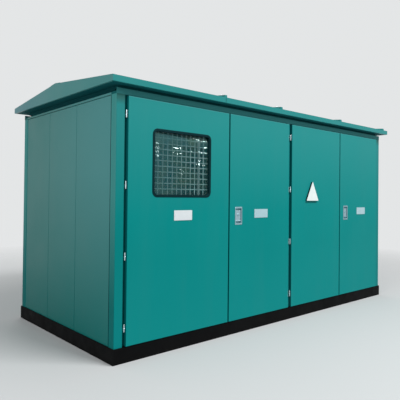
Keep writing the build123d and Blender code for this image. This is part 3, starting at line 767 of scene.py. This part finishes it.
def post_hinges(door_number, axis, foot_back, side_end):
    """Lower knuckles and collars of a leaf's hinges, and the feet that reach the post.

    foot_back is the Y at which the feet end. side_end, if given, is the X to which a second plate
    of each foot runs.
    """
    x_span = (axis.x - FOOT_THICKNESS / 2, axis.x + FOOT_THICKNESS / 2)
    plate_y_span = (foot_back - FOOT_THICKNESS, foot_back)
    knuckles, feet = [], []
    for leaf_bottom in hinge_bottoms(door_number):
        collar_top = leaf_bottom - KNUCKLE_GAP
        collar_bottom = collar_top - COLLAR_HEIGHT
        knuckles.append(barrel(BARREL_RADIUS, collar_bottom - KNUCKLE_HEIGHT, collar_top, axis))
        knuckles.append(barrel(COLLAR_RADIUS, collar_bottom, collar_top, axis, COLLAR_EDGE))
        levels = (collar_bottom - ARM_HEIGHT, collar_bottom - BAR_EDGE)
        feet.append(rounded_bar(x_span, (axis.y, foot_back), levels))
        if side_end is not None:
            feet.append(rounded_bar((axis.x, side_end), plate_y_span, levels))
    return knuckles, feet


def make_hinges(node, halves, body):
    """Bright barrels in place of a CAD node, with their painted arms or feet."""
    bright, painted = halves
    barrels = make_piece(f"{node}_barrels", bright, zinc, body)
    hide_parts(node)
    make_piece(f"{node}_arms", painted, finishes["frame_paint"], body)


hinge_axes = {
    int(joint["name"].split("_")[1]): Vector(joint["pos_m"])
    for joint in frame["joints"]
    if joint["name"].startswith("door")
}
for number, axis in hinge_axes.items():
    make_hinges(f"door_{number}_hinges", leaf_hinges(number, axis), f"door_{number}")

corner_foot_back = post_face_y + FOOT_SETBACK + FOOT_THICKNESS
for side, number in (("left", 1), ("right", 4)):
    low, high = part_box(f"{side}_post_hinges")
    side_end = low.x if side == "left" else high.x
    halves = post_hinges(number, hinge_axes[number], corner_foot_back, side_end)
    make_hinges(f"{side}_post_hinges", halves, "housing")

centre_knuckles, centre_feet = [], []
for number in (2, 3):
    knuckles, feet = post_hinges(number, hinge_axes[number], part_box("centre_post")[0].y, None)
    centre_knuckles += knuckles
    centre_feet += feet
make_hinges("centre_post_hinges", (centre_knuckles, centre_feet), "housing")


# Window gasket: a rounded rubber lip with a filler groove, and a body that holds pane and mesh
gasket_low, gasket_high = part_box("window_gasket")
window_middle = (gasket_low + gasket_high) / 2
window_place = facing_front(window_middle.x, window_middle.z, leaf_face_y)
lip_front = leaf_face_y - gasket_low.y
lip_arc = GASKET_LIP_ROUNDING
gasket_back = leaf_face_y - gasket_high.y
gasket_section = [(0.0, 0.0)]
gasket_section += quarter((lip_arc, lip_front - lip_arc), lip_arc, 180)
gasket_section += [(inset, lip_front + depth) for inset, depth in FILLER_GROOVE]
gasket_section += quarter((GASKET_FACE - lip_arc, lip_front - lip_arc), lip_arc, 90)
for front, back in (PANE_DEPTHS, MESH_DEPTHS):
    gasket_section += [(GASKET_FACE, front), (PANE_INSET, front)]
    gasket_section += [(PANE_INSET, back), (GASKET_FACE, back)]
gasket_section += [(GASKET_FACE, gasket_back), (GASKET_HOLE_INSET, gasket_back)]
gasket_section += [(GASKET_HOLE_INSET, 0.0)]
gasket_width, gasket_height = gasket_high.x - gasket_low.x, gasket_high.z - gasket_low.z
gasket_ring = swept_ring(gasket_section, gasket_width, gasket_height, WINDOW_CORNER, window_place)
gasket = make_piece(
    "window_rubber_gasket", [gasket_ring], finishes["black_rubber"], "door_1"
)
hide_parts("window_gasket")


# Window mesh: rolled wires of oval section, slightly uneven as welded by hand
def wire(start, end, sway, seed):
    """Oval wire from start to end, with shut ends.

    Its middle line sways by a few sines along its length, which a half sine holds to 0 at both
    ends. At each angle a the oval is half its depth times cos a in Y, and half its width times
    sin a across.
    """
    start, end, sway = (np.array(v, float) for v in (start, end, sway))
    along = np.linspace(0, 1, WIRE_STATIONS)
    wave = sum(
        share * np.sin(2 * np.pi * (along * waves + seed * shift))
        for waves, shift, share in WIRE_WAVES
    )
    drift = WIRE_SWAY * wave * np.sin(np.pi * along)
    line = start + along[:, None] * (end - start) + drift[:, None] * sway
    direction = (end - start) / np.linalg.norm(end - start)
    first = np.array((0.0, 1.0, 0.0))
    second = np.cross(direction, first)
    angle = np.linspace(0, 2 * np.pi, WIRE_SIDES + 1)
    half_depth = WIRE_HALF_DEPTH * np.cos(angle)[:, None] * first
    half_width = WIRE_HALF_WIDTH * np.sin(angle)[:, None] * second
    body = line[:, None, :] + (half_depth + half_width)[None, :, :]
    first_end = np.repeat(line[:1, None, :], len(angle), axis=1)
    last_end = np.repeat(line[-1:, None, :], len(angle), axis=1)
    return np.concatenate([first_end, body, last_end])


mesh_low, mesh_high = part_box("window_mesh")
column_pitch = (gasket_width - 2 * GASKET_FACE) / (WIRE_COLUMNS + 1)
row_pitch = (gasket_height - 2 * GASKET_FACE) / (WIRE_ROWS + 1)
front_wire_y = mesh_low.y + WIRE_HALF_DEPTH
back_wire_y = mesh_high.y - WIRE_HALF_DEPTH
wires = []
for i in range(WIRE_COLUMNS):
    x = gasket_low.x + GASKET_FACE + column_pitch * (i + 1)
    wires.append(wire((x, front_wire_y, mesh_low.z), (x, front_wire_y, mesh_high.z), (1, 0, 0), i))
for i in range(WIRE_ROWS):
    z = gasket_low.z + GASKET_FACE + row_pitch * (i + 1)
    left_end, right_end = (mesh_low.x, back_wire_y, z), (mesh_high.x, back_wire_y, z)
    wires.append(wire(left_end, right_end, (0, 0, 1), i + 0.5))
round_mesh = make_piece(
    "window_round_wires", wires, finishes["galvanised_mesh"], "door_1"
)
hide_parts("window_mesh")


# Bare plates: three labels and a triangle that stands off its leaf
def pan_head(x, z, y, radius, height):
    """Domed screw or rivet head on the front: a quarter ellipse from its rim to its crown."""
    turn = np.linspace(0, np.pi / 2, 5)
    rows = [(0, 0)] + [(radius * math.cos(t), height * math.sin(t)) for t in turn]
    return turned(rows, facing_front(x, z, y), sides=16)


label_rows = edge_rows(0, LABEL_THICKNESS, PLATE_EDGE)
rivet_reach = LABEL_SIZE[0] / 2 - RIVET_INSET
rivet_y = leaf_face_y - LABEL_THICKNESS
for number, x in LABEL_PLACES.items():
    label_place = facing_front(x, LABEL_HEIGHT, leaf_face_y)
    plate = stacked(rectangle(*LABEL_SIZE), LABEL_CORNER, label_rows, label_place)
    make_piece(
        f"label_plate_{number}", [plate], label_finishes[number], f"door_{number}"
    )
    rivets = [
        pan_head(x + side * rivet_reach, LABEL_HEIGHT, rivet_y, RIVET_RADIUS, RIVET_HEIGHT)
        for side in (-1, 1)
    ]
    make_piece(f"label_rivets_{number}", rivets, zinc, f"door_{number}")

triangle = [(-TRIANGLE_SIDE / 2, 0), (TRIANGLE_SIDE / 2, 0), (0, TRIANGLE_HEIGHT)]
triangle_place = facing_front(TRIANGLE_X, TRIANGLE_BASE_LEVEL, leaf_face_y)
backing_rows = edge_rows(0, TRIANGLE_STAND_OFF, BACKING_EDGE)
# The backing is black, so that its sides stand in for the triangle's shadow on the leaf: a painted shadow
shadow_backing = stacked(triangle, TRIANGLE_CORNER, backing_rows, triangle_place)
make_piece("triangle_shadow_backing", [shadow_backing], finishes["black_rubber"], "door_3")
face_rows = edge_rows(TRIANGLE_STAND_OFF, TRIANGLE_STAND_OFF + TRIANGLE_THICKNESS, PLATE_EDGE)
face = stacked(triangle, TRIANGLE_CORNER, face_rows, triangle_place)
make_piece("triangle_plate", [face], triangle_finish, "door_3")

# Locks: screws in the plate, and a round key boss on the paddle
for number in (2, 4):
    low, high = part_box(f"lock_{number}_frame")
    screws = [
        pan_head(x, z, low.y, LOCK_SCREW_RADIUS, LOCK_SCREW_HEIGHT)
        for x in (low.x + LOCK_SCREW_INSET[0], high.x - LOCK_SCREW_INSET[0])
        for z in (low.z + LOCK_SCREW_INSET[1], high.z - LOCK_SCREW_INSET[1])
    ]
    make_piece(
        f"lock_screws_{number}", screws, lock_paddle_finish, f"door_{number}"
    )
    boss_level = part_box(f"lock_{number}_paddle")[1].z - KEY_BOSS_DROP
    boss_place = facing_front((low.x + high.x) / 2, boss_level, PADDLE_FACE_Y)
    boss = turned(KEY_BOSS_ROWS, boss_place, sides=32)
    boss_name, paddle = f"lock_{number}_key_boss", f"lock_paddle_{number}"
    make_piece(boss_name, [boss], lock_plate_finish, paddle)


# Sealant beads in the seams between the end walls and the front posts
for side in ("left", "right"):
    wall_low, wall_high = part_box(f"{side}_panel_1")
    post_low, post_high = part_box(f"front_{side}_post")
    seam_y = (wall_low.y + post_high.y) / 2
    outer_x = post_low.x - BEAD_RISE if side == "left" else post_high.x + BEAD_RISE
    inner_x = wall_low.x + BEAD_SINK if side == "left" else wall_high.x - BEAD_SINK
    y_span = (seam_y - BEAD_WIDTH / 2, seam_y + BEAD_WIDTH / 2)
    z_span = (wall_low.z + BEAD_SINK, wall_high.z - BEAD_SINK)
    bead = rounded_bar((outer_x, inner_x), y_span, z_span, BEAD_RISE)
    make_piece(f"{side}_seam_bead", [bead], finishes["black_rubber"], "housing")

# Soffits: thin sheets that close the gaps between the ceiling and the fascias and gables; their dark underside
# paint is painted shade
ceiling_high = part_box("ceiling_slab")[1]
soffit_levels = (ceiling_high.z - SOFFIT_DROP, ceiling_high.z - SOFFIT_CLEARANCE)
end_x = (ceiling_high.x + SOFFIT_CLEARANCE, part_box("right_gable")[0].x - SOFFIT_CLEARANCE)
long_y = (ceiling_high.y + SOFFIT_CLEARANCE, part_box("rear_fascia")[0].y - SOFFIT_CLEARANCE)
for name, x_span, y_span in (
    ("front_soffit", (-end_x[1], end_x[1]), (-long_y[1], -long_y[0])),
    ("rear_soffit", (-end_x[1], end_x[1]), long_y),
    ("left_soffit", (-end_x[1], -end_x[0]), (-long_y[0], long_y[0])),
    ("right_soffit", end_x, (-long_y[0], long_y[0])),
):
    soffit = rounded_bar(x_span, y_span, soffit_levels, SOFFIT_CLEARANCE)
    make_piece(name, [soffit], finishes["underside_paint"], "housing")


# Roof screws: washered heads along the ribs and the ridge cap
def on_slope(x, y, lift):
    """Place on a roof slope, lifted along its normal.

    The level there is the ridge's, less the fall for each metre times the distance from the ridge.
    """
    side = 1 if y > 0 else -1
    fall = (RIDGE_LEVEL - EAVES_LEVEL) / ROOF_HALF_WIDTH
    slant = math.hypot(1, fall)
    down = np.array((0, side / slant, -fall / slant))
    normal = np.array((0, side * fall / slant, 1 / slant))
    point = np.array((x, y, RIDGE_LEVEL - fall * abs(y)))
    across = np.cross(down, normal)
    return point + lift * normal, across, np.cross(normal, across), normal


rib_screws = [
    turned(ROOF_SCREW_ROWS, on_slope(x, side * y, RIB_HEIGHT), sides=12)
    for x in RIB_LINES
    for side in (-1, 1)
    for y in np.linspace(*RIB_SCREW_SPAN, RIB_SCREW_COUNT)
]
make_piece("roof_rib_screws", rib_screws, zinc, "housing")
cap_screws = [
    turned(ROOF_SCREW_ROWS, on_slope(x, side * CAP_SCREW_Y, CAP_THICKNESS), sides=12)
    for x in np.linspace(*CAP_SCREW_SPAN, CAP_SCREW_COUNT)
    for side in (-1, 1)
]
make_piece("ridge_cap_screws", cap_screws, zinc, "housing")


# Stage: a plain pale floor that fades into the pale surroundings between two distances. The camera
# sees one floor colour and the lamps' light meets the other, and the surroundings light the part
# less than they show
BACKGROUND = (0.775, 0.790, 0.795)
FLOOR_SEEN = (0.56, 0.573, 0.578)
FLOOR_LIGHT = (0.42, 0.428, 0.435)
SURROUND_STRENGTH = 0.58
FLOOR_HALF_SIZE = 12.0
FLOOR_FADE = (3.2, 9.0)


def seen_ray(tree):
    """1 for camera, glossy and transmission rays, which see the pale background, 0 for others."""
    path = tree.nodes.new("ShaderNodeLightPath")
    total = path.outputs["Is Camera Ray"]
    for name in ("Is Glossy Ray", "Is Transmission Ray"):
        either = tree.nodes.new("ShaderNodeMath")
        either.operation = "MAXIMUM"
        tree.links.new(total, either.inputs[0])
        tree.links.new(path.outputs[name], either.inputs[1])
        total = either.outputs["Value"]
    return total


floor_mesh = bpy.data.meshes.new("studio_floor")
floor_corners = [(x, y, 0) for x, y in rectangle(2 * FLOOR_HALF_SIZE, 2 * FLOOR_HALF_SIZE)]
floor_mesh.from_pydata(floor_corners, [], [(0, 1, 2, 3)])
floor = bpy.data.objects.new("studio_floor", floor_mesh)
bpy.context.scene.collection.objects.link(floor)
floor_finish = Finish("pale_floor", 0.9, specular=0.0)
floor_finish.colour(floor_finish.mix(seen_ray(floor_finish.tree), FLOOR_LIGHT, FLOOR_SEEN))
reach = floor_finish.add("ShaderNodeVectorMath", operation="LENGTH")
floor_finish.link(floor_finish.place, reach.inputs[0])
floor_alpha = floor_finish.spread(reach.outputs["Value"], *FLOOR_FADE, 1.0, 0.0)
floor_finish.link(floor_alpha, floor_finish.shader.inputs["Alpha"])
floor_mesh.materials.append(floor_finish.material)

world = bpy.data.worlds.new("pale_surroundings")
world.use_nodes = True
sky = world.node_tree.nodes["Background"]
sky.inputs["Color"].default_value = (*BACKGROUND, 1.0)
sky_strength = world.node_tree.nodes.new("ShaderNodeMapRange")
sky_strength.inputs["To Min"].default_value = SURROUND_STRENGTH
sky_strength.inputs["To Max"].default_value = 1.0
world.node_tree.links.new(seen_ray(world.node_tree), sky_strength.inputs["Value"])
world.node_tree.links.new(sky_strength.outputs["Result"], sky.inputs["Strength"])
bpy.context.scene.world = world


def softbox(name, place, target, width, height, power, along=None, colour=(1, 1, 1)):
    """Rectangular lamp that faces a target, with its width level or along a direction."""
    lamp = bpy.data.lights.new(name, "AREA")
    lamp.color = colour
    lamp.shape = "RECTANGLE"
    lamp.size = width
    lamp.size_y = height
    lamp.energy = power
    back = (Vector(place) - Vector(target)).normalized()
    across = along or Vector((0, 0, 1)).cross(back)
    across = (across - back * across.dot(back)).normalized()
    holder = bpy.data.objects.new(name, lamp)
    holder.location = place
    holder.rotation_euler = Matrix((across, back.cross(across), back)).transposed().to_euler()
    holder.visible_camera = False
    bpy.context.scene.collection.objects.link(holder)


# Large softboxes: what each faces, its place from there, its width and height, and its power
FRONT_MIDDLE = Vector((0.3, post_face_y, 1.3))
LEFT_END_MIDDLE = Vector((-2.35, 0.0, 1.6))
REAR_MIDDLE = Vector((0.0, -post_face_y, 1.3))
KEY_DISTANCE = 9.0
KEY_ELEVATION = math.radians(52)
KEY_DIRECTION = Vector((0.1, -math.cos(KEY_ELEVATION), math.sin(KEY_ELEVATION)))
for name, target, offset, width, height, power in (
    ("key_softbox", FRONT_MIDDLE, KEY_DISTANCE * KEY_DIRECTION, 5.0, 1.5, 820.0),
    ("left_softbox", LEFT_END_MIDDLE, Vector((-5.5, -3.5, 3.6)), 4.0, 2.0, 190.0),
    ("rear_softbox", REAR_MIDDLE, Vector((2.0, 7.5, 4.5)), 5.0, 2.0, 200.0),
):
    softbox(name, target + offset, target, width, height, power)

# Narrow strips that the pane mirrors as bright streaks: both ends (X, Z) of each streak on the
# pane, and the radiance
PANE_FRONT_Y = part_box("window_glass")[0].y
STREAK_DISTANCE = 7.0
STREAK_THICKNESS = 0.028
STREAK_COLOUR = (0.72, 1.0, 1.0)
STREAKS = (
    ((-1.465, 2.061), (-1.378, 2.059), 75.0),
    ((-1.378, 2.056), (-1.262, 2.052), 75.0),
    ((-1.926, 1.992), (-1.896, 1.982), 24.0),
    ((-1.936, 1.946), (-1.890, 1.937), 24.0),
    ((-1.927, 1.910), (-1.884, 1.900), 24.0),
    ((-1.926, 1.873), (-1.884, 1.862), 24.0),
    ((-1.705, 1.963), (-1.668, 1.956), 48.0),
    ((-1.668, 1.956), (-1.617, 1.953), 48.0),
    ((-1.700, 1.917), (-1.654, 1.899), 48.0),
    ((-1.634, 1.902), (-1.601, 1.916), 48.0),
    ((-1.482, 1.939), (-1.458, 1.941), 80.0),
    ((-1.415, 1.937), (-1.281, 1.932), 48.0),
    ((-1.304, 1.989), (-1.253, 1.986), 75.0),
    ((-1.384, 1.848), (-1.318, 1.838), 48.0),
    ((-1.427, 1.815), (-1.304, 1.805), 48.0),
    ((-1.635, 1.747), (-1.594, 1.741), 24.0),
    ((-1.619, 1.710), (-1.583, 1.702), 16.0),
)


def mirrored_place(x, z):
    """Place that the pane's point mirrors to the camera: the sight line with its Y turned back."""
    point = Vector((x, PANE_FRONT_Y, z))
    sight = (point - Vector(CAMERA_PLACE)).normalized()
    return point + STREAK_DISTANCE * Vector((sight.x, -sight.y, sight.z))


for number, ((first_x, first_z), (last_x, last_z), radiance) in enumerate(STREAKS, start=1):
    first, last = mirrored_place(first_x, first_z), mirrored_place(last_x, last_z)
    softbox(
        f"strip_lamp_{number}",
        (first + last) / 2,
        Vector(((first_x + last_x) / 2, PANE_FRONT_Y, (first_z + last_z) / 2)),
        (last - first).length,
        STREAK_THICKNESS,
        radiance * math.pi * (last - first).length * STREAK_THICKNESS,
        along=last - first,
        colour=STREAK_COLOUR,
    )

# Camera
camera_data = bpy.data.cameras.new("photo_camera")
camera_data.sensor_fit = "HORIZONTAL"
camera_data.sensor_width = SENSOR_WIDTH
camera_data.lens = CAMERA_FOCAL_PIXELS / PHOTO_PIXELS * SENSOR_WIDTH
camera_data.clip_end = CLIP_END
camera_data.shift_x = 0.5 - CAMERA_AXIS_PIXEL[0] / PHOTO_PIXELS
camera_data.shift_y = CAMERA_AXIS_PIXEL[1] / PHOTO_PIXELS - 0.5
camera = bpy.data.objects.new("photo_camera", camera_data)
yaw, pitch, roll = (math.radians(angle) for angle in (CAMERA_YAW, CAMERA_PITCH, CAMERA_ROLL))
level_right = Vector((math.cos(yaw), -math.sin(yaw), 0))
level_forward = Vector((math.sin(yaw), math.cos(yaw), 0))
forward = level_forward * math.cos(pitch) + Vector((0, 0, math.sin(pitch)))
level_up = Vector((0, 0, math.cos(pitch))) - level_forward * math.sin(pitch)
right = level_right * math.cos(roll) + level_up * math.sin(roll)
up = level_up * math.cos(roll) - level_right * math.sin(roll)
camera.matrix_world = Matrix.LocRotScale(
    Vector(CAMERA_PLACE), Matrix((right, up, -forward)).transposed().to_quaternion(), None
)
bpy.context.scene.collection.objects.link(camera)
bpy.context.scene.camera = camera
bpy.context.scene.view_settings.view_transform = "Standard"
